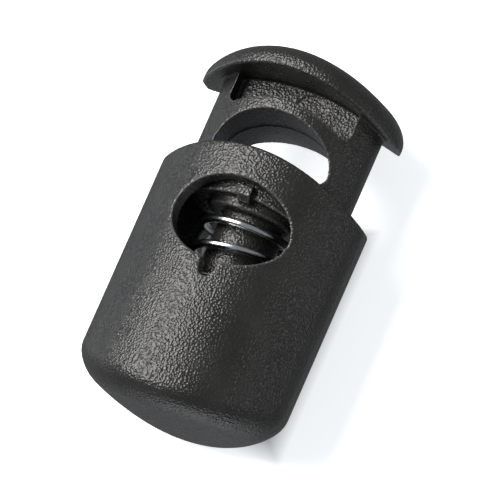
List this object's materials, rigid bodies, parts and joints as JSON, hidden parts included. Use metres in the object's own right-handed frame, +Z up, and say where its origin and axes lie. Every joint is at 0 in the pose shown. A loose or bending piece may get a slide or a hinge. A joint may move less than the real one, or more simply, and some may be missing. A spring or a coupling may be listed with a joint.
{
  "type": "cord lock",
  "caption": "Spring-loaded cord lock: an oval moulded barrel with a cord hole through it, a push-in plunger with an arched cap, and a coil spring.",
  "frame": {"origin": "centre of the width and of the overall length, at the surface the lock lies on", "axes": "+X across the width, +Y along the plunger's travel towards its cap, +Z up through the thickness with the front face up"},
  "size_m": [0.0184, 0.032, 0.0134],
  "materials": {
    "moulding": "fine spark-eroded grain with a soft gloss",
    "spring_wire": "bright drawn wire"
  },
  "bodies": {
    "barrel": {"barrel": "moulding", "spring": "spring_wire"},
    "plunger": {"plunger": "moulding"}
  },
  "joints": [
    {"name": "press", "type": "slide", "parent": "barrel", "child": "plunger", "axis": [0, -1, 0], "range_m": [0, 0.0069], "stiffness_N_per_m": 900, "springref_m": -0.002, "deforming": ["spring"]}
  ]
}
